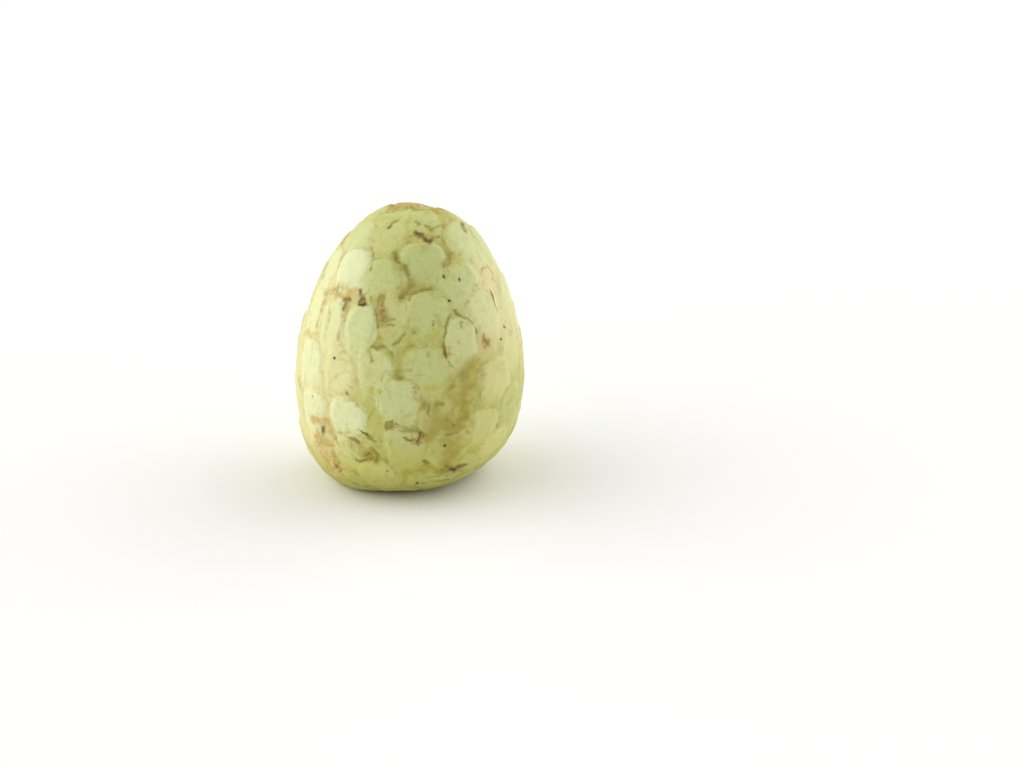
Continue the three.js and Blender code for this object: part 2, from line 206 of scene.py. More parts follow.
def smooth_skin(azimuth, share):
    """Point, outward, upward and round directions of the smooth skin."""
    i = np.clip(np.searchsorted(SHARE, share, side="right") - 1, 0, PROFILE_STEPS - 1)
    a, step = PROFILE[i], PROFILE[i + 1] - PROFILE[i]
    f = np.clip((share - SHARE[i]) / (SHARE[i + 1] - SHARE[i]), 0, 1)
    r = a[..., 0] + step[..., 0] * f
    z = a[..., 1] + step[..., 1] * f
    length = np.hypot(step[..., 0], step[..., 1])
    along_r, along_z = step[..., 0] / length, step[..., 1] / length
    c, s = np.cos(azimuth), np.sin(azimuth)
    point = np.stack([r * c, r * s, z], -1)
    out = np.stack([along_z * c, along_z * s, -along_r], -1)
    up = np.stack([along_r * c, along_r * s, along_z], -1)
    return point, out, up, np.stack([-s, c, np.zeros_like(s)], -1)


# The carpels
def carpel(point, up, around, turn, width, length, proud):
    c, s = math.cos(turn), math.sin(turn)
    return {"centre": point, "round": around * c + up * s, "up": up * c - around * s,
            "width": width, "length": length, "proud": proud}


def grow_carpels():
    outside = np.arange(PROFILE_STEPS + 1) > PIT_END * PROFILE_STEPS
    grown = []
    for azimuth, height, width, length, turn, proud in MEASURED_CARPELS:
        share = np.interp(height, PROFILE[outside, 1], SHARE[outside])
        point, _, up, around = smooth_skin(math.radians(azimuth), share)
        grown.append(carpel(point, up, around, math.radians(turn), width, length, proud))
    measured = list(grown)
    for i in range(CARPELS):
        share = FIRST_CARPEL + (1 - FIRST_CARPEL) * (i + 0.5) / CARPELS
        point, _, up, around = smooth_skin(SPIRAL_PHASE + i * GOLDEN_ANGLE, share)
        point = point + around * SCATTER * (2 * draw(i, 1) - 1) + up * SCATTER * (2 * draw(i, 2) - 1)
        if min(np.linalg.norm(point - m["centre"]) for m in measured) <= CARPEL_ROOM:
            continue
        size = between(*SIZES, draw(i, 4))
        turn = TWIST * (2 * draw(i, 3) - 1)
        grown.append(carpel(point, up, around, turn, size, size, PROUD * (2 * draw(i, 5) - 1)))
    return grown


def tongue(shape, p):
    """Lift of one tongue at points p, with its inside measure and the climb from root to tip."""
    q = p - shape["centre"]
    u = q @ shape["round"] / shape["width"]
    v = q @ shape["up"] / shape["length"]
    down = np.clip(-v / TAIL, 0, 1)
    across = np.abs(u) / (HALF * (1 - TAPER * down ** TAPER_DELAY))
    along = np.where(v > 0, v / DOME, down ** ROOT_BLUNTNESS)
    inside = 1 - (across ** BOXINESS + along ** BOXINESS) ** (1 / BOXINESS)
    climb = np.clip((v + TAIL) / (TAIL + DOME), 0, 1)
    head_only = smooth(v, -TAIL, -DISH_START * TAIL)
    dish = 0.5 * FLATTENING * (u * u + np.maximum(0, v) ** 2) * head_only
    rim = RIM * (1 + FLANK_SOFTNESS * (1 - climb))
    step = (TONGUE_RISE + shape["proud"]) * climb
    lift = (step + dish) * smooth(inside / rim, 0, 1)
    return np.where(inside > 0, lift, 0), inside, climb


def lumps(azimuth, z):
    h = z / HEIGHT
    return LUMP * sum(share * np.sin(waves * azimuth + phase + twist * h)
                      for share, waves, phase, twist in LUMPS)


def slump(p, azimuth):
    heel = np.clip(1 - p[:, 2] / WIDEST_HEIGHT, 0, 1) ** 2
    reach = np.hypot(p[:, 0], p[:, 1]) / WIDEST_RADIUS
    facing = np.cos(azimuth - SLACK_SIDE)
    slack = HEEL_SLACK * heel * reach * (facing + (1 - facing) * EVEN_SLACK)
    h = np.clip(p[:, 2] / HEIGHT, 0, 1)
    crown = h ** CROWN_SHARPNESS
    x = p[:, 0] + LEAN * (h - 0.5) + CROWN_LEAN * crown - slack * np.cos(azimuth)
    y = p[:, 1] - slack * np.sin(azimuth)
    ring = RING_RADIUS / WIDEST_RADIUS
    beyond = np.clip((reach - ring) / (1 - ring), 0, 1)
    bulge = FOOT_BULGE * beyond * np.cos(FOOT_BULGES * (azimuth - FOOT_BULGE_SIDE))
    lift = HEEL_LIFT * smooth(reach * np.cos(azimuth - LIFT_SIDE), 0, 1)
    return np.stack([x, y, p[:, 2] + heel * (lift + bulge) + CROWN_TILT * crown * x], -1)


# The fine skin
SKIN_SPLITS = 126 # of each edge of the cube that the skin's mesh grows from
OUTLINE_WANDER = 0.8 # how far the tongues' outlines wander, in millimetres
WANDER_SIZE = 5.0
PUCKER = 0.09 # small unevenness of the skin
PUCKER_SIZES = (3.2, 1.5)
FINE_PUCKER = 0.6 # the share of the finer size


def ball_grid(n):
    """Points of a cube's faces blown up to a unit ball, and their quads, all facing out."""
    ticks = np.tan(np.linspace(-math.pi / 4, math.pi / 4, n + 1))
    index, points, quads = {}, [], []

    def corner(key, xyz):
        if key not in index:
            index[key] = len(points)
            points.append(xyz)
        return index[key]

    for axis in range(3):
        for side in (-1, 1):
            ids = np.empty((n + 1, n + 1), int)
            for i in range(n + 1):
                for j in range(n + 1):
                    key = [0, 0, 0]
                    key[axis] = n if side > 0 else 0
                    key[(axis + 1) % 3], key[(axis + 2) % 3] = i, j
                    xyz = [0.0, 0.0, 0.0]
                    xyz[axis] = float(side)
                    xyz[(axis + 1) % 3], xyz[(axis + 2) % 3] = ticks[i], ticks[j]
                    ids[i, j] = corner(tuple(key), xyz)
            a, b, c, d = ids[:-1, :-1], ids[1:, :-1], ids[1:, 1:], ids[:-1, 1:]
            order = (a, b, c, d) if side > 0 else (a, d, c, b)
            quads.append(np.stack([q.ravel() for q in order], -1))
    points = np.array(points)
    return points / np.linalg.norm(points, axis=1, keepdims=True), np.concatenate(quads)


def shape_skin(azimuth, share, carpels):
    """Finished points of the skin, and what the skin's material reads at each."""
    base, out = smooth_skin(azimuth, share)[:2]
    strayed = base + OUTLINE_WANDER * np.stack([noise(base, WANDER_SIZE, s) for s in (1, 2, 3)], -1)
    lift = np.zeros(len(base))
    owner = np.full(len(base), -1)
    climb = np.zeros(len(base))
    inside = np.zeros(len(base))
    for k, shape in enumerate(carpels):
        near = np.nonzero(((strayed - shape["centre"]) ** 2).sum(1) < REACH ** 2)[0]
        if not len(near):
            continue
        h, within, rise = tongue(shape, strayed[near])
        better = h > lift[near]
        won = near[better]
        lift[won], inside[won], climb[won] = h[better], within[better], rise[better]
        owner[won] = k
    from_axis = np.hypot(base[:, 0], base[:, 1])
    bare = np.where(base[:, 2] < PIT_DEPTH, 1 - smooth(from_axis, PIT_FLOOR_RADIUS, RING_RADIUS), 0)
    crown = base[:, 2] > WIDEST_HEIGHT
    dimple = np.where(crown, DIMPLE_DEPTH * np.exp(-(from_axis / DIMPLE_RADIUS) ** 2), 0)
    pucker = PUCKER * (noise(base, PUCKER_SIZES[0], 4) + FINE_PUCKER * noise(base, PUCKER_SIZES[1], 5))
    height = (1 - bare) * (lift + lumps(azimuth, base[:, 2]) + pucker) - dimple
    points = slump(base + out * height[:, None], azimuth)
    points[:, 2] = np.maximum(points[:, 2], 0)
    return {"points": points, "out": out, "base": base, "owner": owner, "climb": climb, "inside": inside,
            "bare": bare}


def spread(values, quads, times):
    """Evens values out over neighbouring points."""
    edges = np.concatenate([quads[:, [k, (k + 1) % 4]] for k in range(4)])
    edges = np.concatenate([edges, edges[:, ::-1]])
    count = np.bincount(edges[:, 0], minlength=len(values))
    for _ in range(times):
        values = np.bincount(edges[:, 0], values[edges[:, 1]], len(values)) / count
    return values


def find_rims(skin, quads):
    """The lines where one tongue ends on the next: how high up its tongue each lies, 0 elsewhere."""
    edges = np.concatenate([quads[:, [k, (k + 1) % 4]] for k in range(4)])
    edges = edges[skin["owner"][edges[:, 0]] != skin["owner"][edges[:, 1]]]
    rise = skin["climb"][edges].max(1)
    line = np.zeros(len(skin["owner"]))
    np.maximum.at(line, edges[:, 0], rise)
    return spread(line, quads, 1)


def to_pixels(p):
    q = p - CAMERA
    depth = q @ FORWARD
    return np.stack([FRAME_W / 2 + FOCAL_PX * (q @ RIGHT) / depth,
                     FRAME_H / 2 - FOCAL_PX * (q @ UPWARD) / depth], -1)


# Marks on the skin
# Strokes of the photograph: kind, strength, half width in millimetres, then the pixels that it
# runs through. One pixel alone is a blot.
STROKES = [
    # the crown
    ("tan", 1.1, 4.5, [(397, 206), (408, 204), (420, 205), (434, 207), (442, 210)]),
    ("olive", 0.7, 4.0, [(392, 206), (410, 204), (425, 204), (440, 208)]),
    ("brown", 0.5, 1.6, [(424, 206), (435, 208), (444, 210)]),
    ("tan", 0.7, 1.2, [(427, 212), (436, 213)]),
    ("olive", 0.8, 0.5, [(377, 214), (387, 213), (396, 212)]),
    ("olive", 0.9, 0.7, [(389, 227), (393, 223), (397, 220)]),
    ("brown", 0.6, 0.4, [(388, 228), (391, 225)]),
    ("olive", 0.8, 0.8, [(415, 222), (418, 225)]),
    ("olive", 0.7, 0.7, [(424, 226), (431, 229), (438, 225)]),
    ("olive", 0.9, 1.2, [(414, 235), (420, 236), (428, 238), (438, 236)]),
    ("brown", 0.9, 0.9, [(417, 234), (421, 234)]),
    ("brown", 0.9, 1.2, [(423, 238), (427, 242), (430, 240)]),
    ("tan", 1.0, 1.1, [(424, 237), (430, 238), (434, 236)]),
    ("olive", 0.5, 0.5, [(405, 238), (415, 235)]),
    ("olive", 0.6, 0.4, [(436, 236), (441, 238), (446, 244)]),
    ("brown", 1.0, 0.9, [(462, 223), (464, 227), (466, 232)]),
    ("tan", 0.9, 1.3, [(466, 224), (468, 229), (471, 234)]),
    ("olive", 0.5, 1.2, [(368, 238), (374, 241)]),
    ("olive", 0.8, 0.5, [(369, 247), (373, 253), (373, 260), (370, 270)]),
    ("tan", 0.6, 0.5, [(346, 254), (340, 263), (337, 272)]),
    # round the large green facet
    ("olive", 1.0, 1.1, [(395, 253), (396, 260)]),
    ("olive", 0.9, 1.1, [(399, 262), (405, 267), (408, 274)]),
    ("olive", 0.5, 2.5, [(408, 276), (410, 286), (400, 288)]),
    ("olive", 0.9, 1.5, [(442, 264), (447, 261), (451, 255)]),
    ("brown", 0.5, 1.3, [(443, 264), (446, 261)]),
    ("tan", 0.8, 1.5, [(442, 265), (448, 259), (453, 255)]),
    ("spot", 0.5, 0.5, [(450, 269)]),
    ("tan", 0.6, 2.4, [(396, 289), (404, 288), (410, 287)]),
    ("olive", 0.9, 1.4, [(402, 298), (404, 291), (410, 287)]),
    ("olive", 0.8, 0.7, [(408, 300), (411, 294), (420, 291), (431, 290)]),
    ("tan", 0.5, 0.6, [(411, 295), (418, 292), (426, 290)]),
    # the left band, scar and strips
    ("tan", 0.9, 2.0, [(327, 293), (336, 288), (346, 288), (355, 293), (360, 297)]),
    ("tan", 0.8, 1.6, [(336, 294), (346, 297), (353, 299)]),
    ("tan", 0.8, 1.0, [(352, 294), (356, 299)]),
    ("olive", 0.6, 1.2, [(326, 294), (332, 289), (337, 286)]),
    ("brown", 0.6, 0.8, [(338, 291), (339, 286)]),
    ("brown", 0.9, 0.8, [(344, 299), (350, 300)]),
    ("brown", 0.8, 0.5, [(344, 300), (344, 306), (342, 312)]),
    ("brown", 1.0, 0.6, [(360, 292), (361, 295)]),
    ("brown", 1.0, 0.9, [(359, 301), (363, 300), (364, 305), (359, 305), (359, 302)]),
    ("dark", 1.0, 0.5, [(359, 305), (363, 305)]),
    ("tan", 0.7, 0.7, [(343, 309), (341, 326), (338, 341)]),
    ("tan", 0.6, 1.0, [(345, 312), (345, 322)]),
    ("tan", 0.9, 0.8, [(325, 298), (321, 311), (316, 326)]),
    ("tan", 0.7, 0.8, [(333, 302), (328, 320), (325, 340)]),
    ("tan", 0.6, 0.8, [(313, 343), (311, 365)]),
    ("tan", 0.6, 0.7, [(348, 245), (342, 256), (338, 270)]),
    ("olive", 0.9, 0.6, [(369, 297), (374, 303), (376, 315), (377, 327)]),
    ("tan", 0.75, 2.4, [(382, 298), (381, 306), (383, 314), (383, 323)]),
    ("olive", 0.9, 2.2, [(382, 297), (381, 307), (383, 316), (383, 324)]),
    ("brown", 0.45, 1.0, [(384, 302), (382, 311), (384, 321)]),
    ("olive", 0.8, 0.5, [(388, 320), (395, 319)]),
    ("olive", 0.8, 0.5, [(380, 326), (388, 325), (395, 324)]),
    ("tan", 0.6, 1.5, [(304, 333), (311, 334), (317, 333)]),
    ("tan", 0.8, 1.0, [(299, 379), (300, 386)]),
    # the right side
    ("tan", 0.8, 0.5, [(482, 275), (483, 268), (488, 266), (494, 274), (493, 282)]),
    ("brown", 0.5, 0.4, [(491, 269), (494, 275)]),
    ("tan", 0.8, 0.7, [(490, 289), (493, 298)]),
    ("brown", 0.7, 0.4, [(490, 289), (492, 294), (494, 301), (498, 311)]),
    ("olive", 1.1, 0.45, [(452, 312), (458, 314), (468, 318), (475, 328), (476, 340)]),
    ("olive", 0.8, 0.5, [(448, 316), (445, 330), (445, 341)]),
    ("brown", 0.9, 0.5, [(445, 342), (446, 350), (448, 357)]),
    ("tan", 0.8, 0.8, [(450, 348), (451, 355)]),
    ("olive", 0.6, 0.4, [(448, 357), (452, 364), (456, 369)]),
    ("olive", 0.8, 0.8, [(461, 322), (462, 325)]),
    ("olive", 0.4, 0.4, [(455, 341), (464, 344), (469, 345)]),
    ("tan", 1.0, 2.6, [(480, 338), (487, 345)]),
    ("brown", 0.6, 1.5, [(484, 337), (487, 344), (485, 348)]),
    ("brown", 0.6, 0.4, [(432, 321), (433, 326)]),
    # the middle
    ("tinge", 0.25, 3.0, [(364, 345), (378, 346), (390, 345), (400, 338), (410, 331)]),
    ("tinge", 0.5, 3.0, [(392, 255), (398, 266), (406, 278)]),
    ("tinge", 0.6, 3.0, [(396, 286), (408, 285), (420, 287), (433, 289)]),
    ("tinge", 0.3, 2.5, [(388, 300), (384, 320), (392, 330)]),
    ("tinge", 0.35, 3.0, [(432, 335), (440, 350), (444, 365)]),
    ("tinge", 0.35, 3.0, [(370, 372), (372, 388), (370, 402)]),
    ("tinge", 0.3, 3.0, [(408, 336), (412, 350), (408, 366)]),
    ("tinge", 0.35, 3.0, [(382, 415), (378, 430), (384, 445)]),
    ("olive", 1.0, 0.9, [(371, 348), (378, 349), (386, 347)]),
    ("olive", 0.8, 0.7, [(394, 343), (399, 339), (405, 334)]),
    ("olive", 0.7, 0.9, [(370, 354), (372, 361)]),
    ("olive", 0.7, 0.8, [(389, 352), (391, 355)]),
    ("olive", 0.6, 0.8, [(412, 330), (415, 333)]),
    ("olive", 0.6, 0.9, [(428, 350), (429, 354)]),
    ("olive", 1.0, 0.9, [(400, 379), (402, 381)]),
    ("olive", 0.6, 0.5, [(388, 372), (400, 370), (411, 371)]),
    ("olive", 0.6, 0.4, [(382, 379), (381, 386), (378, 398), (379, 410)]),
    ("brown", 0.5, 0.5, [(416, 387)]),
    ("brown", 0.5, 0.5, [(417, 392)]),
    ("tan", 0.9, 1.0, [(341, 395), (346, 393), (350, 395)]),
    ("brown", 0.8, 0.6, [(346, 392), (348, 393)]),
    ("dark", 0.5, 0.3, [(460, 379), (463, 381)]),
    # down to the lower left band: broad olive low on the right, partly the skin's own olive and partly
    # painted shadow cast by a second, cut fruit that the scene leaves out
    ("olive", 0.5, 2.0, [(455, 383), (463, 376)]),
    ("tinge", 1.0, 7.0, [(474, 366), (466, 384), (458, 400)]),
    ("tinge", 1.0, 8.0, [(458, 408), (452, 425), (450, 445), (448, 462)]),
    ("tinge", 0.9, 4.0, [(438, 405), (436, 425), (430, 440)]),
    ("tinge", 0.6, 3.0, [(420, 398), (424, 415)]),
    ("tinge", 0.6, 3.0, [(427, 440), (426, 452), (420, 466)]),
    ("tinge", 0.7, 4.0, [(405, 474), (430, 470), (447, 464)]),
    # the lower left band
    ("tan", 1.0, 2.6, [(311, 420), (320, 419), (328, 424), (334, 436)]),
    ("tan", 1.0, 3.4, [(316, 428), (321, 440), (327, 452)]),
    ("tan", 1.4, 4.0, [(322, 448), (330, 461), (339, 473)]),
    ("tan", 0.8, 2.6, [(331, 444), (337, 458), (344, 470)]),
    ("brown", 0.5, 1.6, [(336, 466), (341, 474)]),
    ("brown", 0.8, 0.9, [(323, 428), (324, 433)]),
    ("brown", 0.5, 0.8, [(335, 438), (337, 444)]),
    ("olive", 0.5, 1.2, [(317, 423), (319, 430), (328, 440)]),
    ("tan", 0.8, 0.5, [(337, 432), (344, 433), (350, 431)]),
    ("brown", 0.4, 0.4, [(327, 453), (328, 455)]),
    # scribbles and arches low on the front
    ("dark", 0.75, 0.4, [(359, 431), (363, 434), (369, 437)]),
    ("olive", 1.1, 0.8, [(366, 436), (371, 440), (376, 443)]),
    ("olive", 1.2, 0.7, [(350, 437), (354, 440), (358, 442)]),
    ("tinge", 0.7, 5.0, [(352, 445), (362, 452), (370, 458)]),
    ("dark", 0.5, 0.35, [(350, 444), (352, 452), (354, 458), (357, 464)]),
    ("dark", 0.5, 0.35, [(361, 447), (359, 453), (363, 456), (369, 452), (372, 457), (366, 461)]),
    ("dark", 0.45, 0.35, [(357, 449), (364, 446), (370, 449), (374, 455)]),
    ("olive", 1.1, 0.5, [(366, 460), (360, 462), (355, 459)]),
    ("olive", 1.1, 0.5, [(373, 447), (377, 455), (375, 462)]),
    ("brown", 0.7, 0.4, [(387, 432), (386, 428), (390, 424), (397, 424), (402, 426)]),
    ("olive", 0.9, 1.0, [(388, 429), (394, 427)]),
    ("olive", 0.8, 1.4, [(402, 432), (414, 432), (422, 438)]),
    ("olive", 0.6, 0.3, [(386, 453), (386, 464)]),
    ("olive", 0.6, 0.4, [(391, 464), (395, 471), (398, 478)]),
    ("olive", 0.5, 0.4, [(385, 471), (387, 478), (392, 481)]),
    ("brown", 0.9, 0.6, [(404, 439), (409, 440), (414, 439)]),
    ("brown", 0.9, 0.3, [(418, 433), (418, 445)]),
    ("brown", 0.9, 0.3, [(413, 437), (423, 442)]),
    ("brown", 0.7, 0.3, [(414, 443), (422, 435)]),
    ("tan", 1.0, 1.6, [(415, 439), (421, 440)]),
    ("brown", 0.8, 0.4, [(441, 434), (448, 436), (456, 433)]),
    ("brown", 0.8, 0.3, [(447, 419), (454, 424)]),
    ("olive", 0.9, 0.5, [(430, 405), (430, 417)]),
    ("olive", 0.8, 0.9, [(438, 402), (441, 404)]),
    ("brown", 0.7, 0.5, [(423, 461), (430, 464)]),
    ("olive", 1.0, 2.2, [(444, 471), (453, 469), (462, 466)]),
    ("dark", 0.8, 0.8, [(449, 469), (454, 470)]),
    ("brown", 0.9, 0.5, [(445, 466), (452, 470), (459, 466), (468, 464)]),
    ("brown", 0.8, 0.4, [(447, 476), (455, 471), (463, 470)]),
    ("dark", 1.0, 0.5, [(415, 484), (417, 482)]),
    ("dark", 0.8, 0.4, [(422, 483), (425, 483)]),
    ("brown", 0.9, 0.35, [(428, 482), (438, 481), (448, 480)]),
    ("olive", 0.7, 0.4, [(426, 478), (436, 476), (447, 475)]),
    ("brown", 0.8, 0.4, [(350, 480), (354, 483), (358, 484)]),
    ("brown", 0.8, 0.5, [(358, 486), (363, 487), (368, 487)]),
    ("tan", 0.7, 1.0, [(366, 485), (372, 486)]),
]
DARK_SPOTS = [(458, 279), (442, 275), (448, 302), (503, 325), (500, 337), (312, 394), (334, 358),
              (386, 470), (444, 447)]
SPOT_RADIUS = 0.55
KINDS = ("tinge", "olive", "tan", "brown", "dark", "spot")
FRAYS = (0.55, 1.5) # how far a stroke's outline frays, and over what length, in millimetres
STRAYS = (0.8, 5.0) # how far a whole stroke strays, and over what length
BREAKS = (0.4, 2.6) # by what share its strength varies, and over what length
WIDEN = 1.15 # how much softer a stroke is than its half width
LEAST_WIDTH = 0.14 # what a stroke of no width would still show, in millimetres
THIN_ENDS = 0.35 # the share by which its ends are thinner
PATH_STEPS = 5 # points of a path along a head's edge
# Marks on the sides that the photograph doesn't show, along the heads' edges: where they start, in
# radians off the tip, how often each kind is there, and how far out it lies.
MARK_STARTS = (-1.3, 0.3)
CHANCES = {"olive": 0.6, "tinge": 0.5, "tan": 0.4, "brown": 0.3, "spot": 0.22}
OUT = {"olive": 1.06, "tinge": 1.2, "tan": 1.1, "brown": 1.04, "spot": 0.6}


def stamp(skin, mask, path, half_width, strength):
    """Raises the mask along a path over the skin; a path thins out towards its ends."""
    reach = 3 * half_width + 1
    low, high = path.min(0) - reach, path.max(0) + reach
    near = np.nonzero(((skin["points"] > low) & (skin["points"] < high)).all(1))[0]
    if not len(near):
        return
    p = skin["strayed"][near]
    best = np.full(len(near), np.inf)
    share = np.full(len(near), 0.5)
    if len(path) == 1:
        path = np.concatenate([path, path + 0.01])
    parts = len(path) - 1
    for k, (a, b) in enumerate(zip(path[:-1], path[1:])):
        along = b - a
        t = np.clip((p - a) @ along / max(along @ along, 1e-9), 0, 1)
        distance = np.linalg.norm(p - a - t[:, None] * along, axis=1)
        if parts > 1:
            share = np.where(distance < best, (k + t) / parts, share)
        best = np.minimum(best, distance)
    width = (WIDEN * half_width + LEAST_WIDTH) * (1 - THIN_ENDS * np.abs(2 * share - 1) ** 3)
    value = strength * np.exp(-(best / width) ** 2) * skin["broken"][near]
    mask[near] = np.maximum(mask[near], value)


def rim_path(skin, shape, start, end, beyond):
    """Points of the skin along a tongue's head, from one angle off its tip to another."""
    path = []
    for t in np.linspace(start, end, PATH_STEPS):
        place = shape["centre"] + shape["round"] * shape["width"] * HALF * beyond * math.sin(t)
        place = place + shape["up"] * shape["length"] * DOME * beyond * math.cos(t)
        path.append(skin["points"][int(np.argmin(((skin["base"] - place) ** 2).sum(1)))])
    return np.array(path)


def paint(skin, carpels):
    """The masks of the skin's markings: those of the photograph, and like ones where it shows none."""
    points = skin["points"]
    frayed = np.stack([noise(points, FRAYS[1], s) for s in (11, 12, 13)], -1)
    bent = np.stack([noise(points, STRAYS[1], s) for s in (14, 15, 16)], -1)
    stray = FRAYS[0] * frayed + STRAYS[0] * bent
    stray -= (stray * skin["out"]).sum(1)[:, None] * skin["out"]
    skin["strayed"] = points + stray
    skin["broken"] = 1.0 + BREAKS[0] * noise(points, BREAKS[1], 17)
    marks = {kind: np.zeros(len(points)) for kind in KINDS}
    pixels = to_pixels(points)
    toward = CAMERA - points
    facing = (toward * skin["out"]).sum(1) / np.linalg.norm(toward, axis=1)
    front = np.nonzero(facing > 0)[0]

    def under(x, y):
        return points[front[int(np.argmin(((pixels[front] - (x, y)) ** 2).sum(1)))]]

    for kind, strength, half_width, path in STROKES:
        stamp(skin, marks[kind], np.array([under(x, y) for x, y in path]), half_width, strength)
    for x, y in DARK_SPOTS:
        stamp(skin, marks["spot"], np.array([under(x, y)]), SPOT_RADIUS, 1.0)

    def edge(kind, shape, start, length, half_width, strength):
        path = rim_path(skin, shape, start, start + length, OUT[kind])
        stamp(skin, marks[kind], path, half_width, strength)

    unseen = 1 - smooth(facing, 0.0, 0.2)
    for k, shape in enumerate(carpels):
        at = int(np.argmin(((skin["base"] - shape["centre"]) ** 2).sum(1)))
        if unseen[at] < 0.5:
            continue
        d = [draw(k, 20 + i) for i in range(12)]
        start = between(*MARK_STARTS, d[0])
        if d[1] < CHANCES["olive"]:
            edge("olive", shape, start, between(0.4, 1.4, d[2]), between(0.3, 0.9, d[3] ** 2),
                 between(0.35, 0.9, d[4]))
        if d[1] > 1 - CHANCES["tinge"]:
            edge("tinge", shape, start, 0.8, between(2, 4, d[3]), 0.6)
        if d[5] < CHANCES["tan"]:
            edge("tan", shape, start, between(0.2, 0.9, d[6]), between(0.6, 2.4, d[7] ** 2),
                 between(0.6, 1.0, d[6]))
        if d[8] < CHANCES["brown"]:
            edge("brown", shape, start + 0.2, between(0.1, 0.6, d[9]), between(0.25, 0.95, d[10] ** 2),
                 between(0.5, 0.9, d[11]))
        if d[11] < CHANCES["spot"]:
            path = rim_path(skin, shape, 6 * d[9], 6 * d[9], OUT["spot"])[:1]
            stamp(skin, marks["spot"], path, SPOT_RADIUS, 1.0)
    return marks


# Making the pieces
def new_mesh_object(name, points, faces):
    mesh = bpy.data.meshes.new(name)
    mesh.from_pydata((points * MM).tolist(), [], faces.tolist() if hasattr(faces, "tolist") else faces)
    mesh.update()
    obj = bpy.data.objects.new(name, mesh)
    bpy.context.scene.collection.objects.link(obj)
    return obj


def add_attribute(obj, name, values):
    layer = obj.data.attributes.new(name, "FLOAT", "POINT")
    layer.data.foreach_set("value", np.asarray(values, np.float32))


# Of each measured carpel's head: how pale (-1 to 1), how creamy rather than green (0 to 1), how crisp
# its outline is and how plainly it shows (0 to 1).
MEASURED_TONES = [
    (-0.2, 0.3, 0.3, 0.7), (0.2, 0.4, 0.5, 0.8), (-0.5, 0.0, 0.4, 0.9), (0.75, 0.2, 0.8, 1.0),
    (0.1, 0.2, 0.2, 0.6), (0.5, 0.6, 0.7, 1.0), (0.1, 0.2, 0.1, 0.7), (-0.2, 0.4, 0.2, 0.7),
    (-0.1, 0.5, 0.1, 0.6), (0.4, 0.5, 0.3, 0.8), (0.3, 0.5, 0.3, 0.8), (0.5, 0.7, 0.7, 1.0),
    (0.3, 0.3, 0.6, 1.0), (0.5, 0.6, 0.7, 1.0), (0.2, 0.5, 0.7, 0.9), (0.4, 0.5, 0.1, 0.7),
    (0.1, 0.3, 0.1, 0.6), (0.4, 0.8, 0.3, 0.8), (0.7, 0.7, 0.7, 1.0), (0.35, 0.3, 0.15, 0.7),
    # the first head on this row, at -74 degrees and 37 mm, is dull partly as painted shadow of a second,
    # cut fruit that the scene leaves out
    (-0.6, 0.6, 0.1, 0.5), (0.8, 0.4, 0.4, 1.0), (0.9, 1.0, 0.6, 1.0), (-0.4, 0.4, 0.4, 0.8),
]
PLAIN_ABOVE = 94 # the height above which heads are hard to tell apart
HEEL_FADES = (2, 46) # the heights between which the heel's colour fades out
# The creamier flanks, partly the skin's own cream and partly painted light on the sides that face the
# lamps: how far to that side they begin and are full, then the same for height.
LEFT_FLANK = (4, 36, 3, 26)
RIGHT_FLANK = (8, 36, 40, 70)
SHADE_REACH = 60 # rounds of evening-out that find how low a point lies among its neighbours, for the painted shade in low places


def make_skin():
    ball, quads = ball_grid(SKIN_SPLITS)
    azimuth = np.arctan2(ball[:, 1], ball[:, 0])
    share = np.clip((1 + ball[:, 2]) / 2, 0, 1)
    carpels = grow_carpels()
    skin = shape_skin(azimuth, share, carpels)
    marks = paint(skin, carpels)
    tones = list(MEASURED_TONES)
    for k in range(len(tones), len(carpels)):
        if carpels[k]["centre"][2] > PLAIN_ABOVE:
            tones.append((between(-0.1, 0.2, draw(k, 31)), draw(k, 32), 0.1, 0.4))
        else:
            tones.append((between(-0.7, 0.6, draw(k, 31)), draw(k, 32), draw(k, 33) ** 2,
                          between(0.4, 1.0, draw(k, 34))))
    tones = np.array(tones + [(0, 0.5, 0, 0)])[skin["owner"]]
    # painted shade: how far each point lies below its neighbours, which the material darkens to olive
    tier = skin["climb"] * np.clip(skin["inside"] / RIM, 0, 1)
    low = spread(tier, quads, SHADE_REACH) - tier
    middle = (skin["points"].min(0) + skin["points"].max(0)) / 2
    middle[2] = 0
    obj = new_mesh_object("skin", skin["points"] - middle, quads)
    obj.data.polygons.foreach_set("use_smooth", np.ones(len(quads), bool))
    evened = {
        "climb": (skin["climb"] * (skin["owner"] >= 0), 3),
        "pale": (tones[:, 0], 2),
        "cream": (tones[:, 1], 2),
        "crisp": (tones[:, 2], 2),
        "shown": (tones[:, 3], 1),
        "low": (low, 2),
        "heart": (np.clip(skin["inside"], 0, 1), 1),
    }
    for name, (values, times) in evened.items():
        add_attribute(obj, name, spread(values, quads, times))
    x, z = skin["points"][:, 0], skin["points"][:, 2]
    add_attribute(obj, "rim", find_rims(skin, quads))
    add_attribute(obj, "heel", 1 - smooth(z, *HEEL_FADES))
    # the flanks facing the lamps: partly cream skin, partly painted light
    left = smooth(-x, *LEFT_FLANK[:2]) * smooth(z, *LEFT_FLANK[2:])
    right = smooth(x, *RIGHT_FLANK[:2]) * smooth(z, *RIGHT_FLANK[2:])
    add_attribute(obj, "sides", np.maximum(left, right))
    add_attribute(obj, "pit", skin["bare"])
    for name, mask in marks.items():
        add_attribute(obj, name, mask)
    return obj, middle


